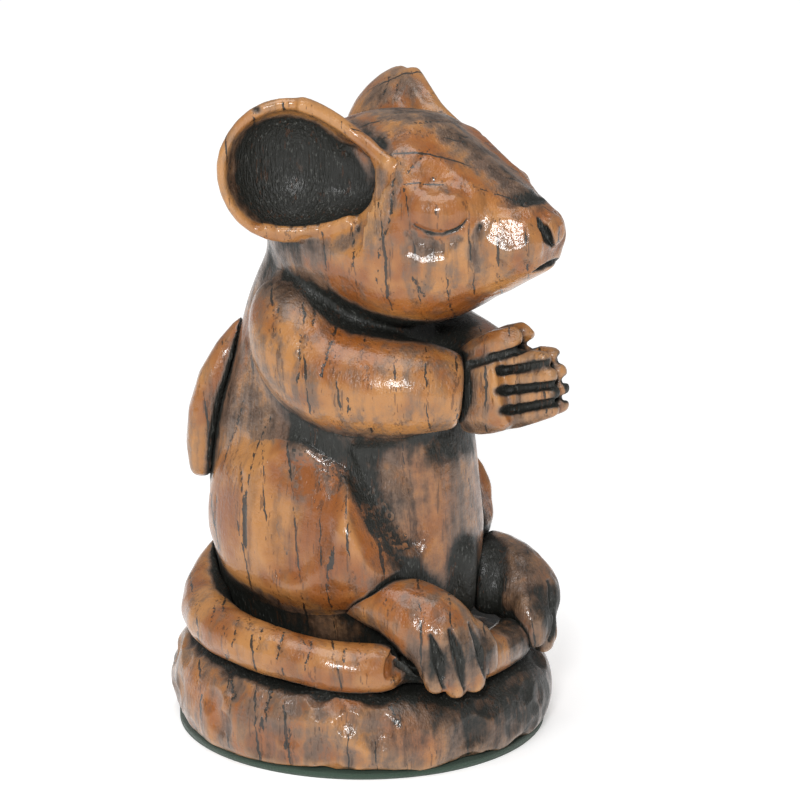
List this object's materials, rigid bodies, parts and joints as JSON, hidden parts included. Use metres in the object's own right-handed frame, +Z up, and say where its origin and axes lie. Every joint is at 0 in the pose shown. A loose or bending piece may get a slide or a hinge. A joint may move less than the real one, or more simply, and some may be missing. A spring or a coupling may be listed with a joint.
{
  "type": "mouse figurine",
  "caption": "Carved oak mouse at prayer: it sits upright with its eyes shut, its palms together and its tail round its feet, on a low round plinth with a baize base.",
  "frame": {"origin": "middle of the underside of the baize, on the surface that the figurine stands on", "axes": "+Z up through the head; the mouse faces -Y; its right side, with the tail's long run, is at -X"},
  "size_m": [0.0512, 0.0565, 0.0871],
  "materials": {
    "waxed_oak": "stained and waxed, glossy on the high places and nearly black in the recesses",
    "baize": "matt felt"
  },
  "bodies": {
    "root": {"baize_pad": "baize", "plinth": "waxed_oak", "torso": "waxed_oak", "head": "waxed_oak", "tail": "waxed_oak", "right_haunch": "waxed_oak", "left_haunch": "waxed_oak", "right_arm": "waxed_oak", "left_arm": "waxed_oak", "right_hand": "waxed_oak", "left_hand": "waxed_oak", "right_foot": "waxed_oak", "left_foot": "waxed_oak", "right_ear": "waxed_oak", "left_ear": "waxed_oak", "right_wing": "waxed_oak", "left_wing": "waxed_oak"}
  },
  "joints": []
}
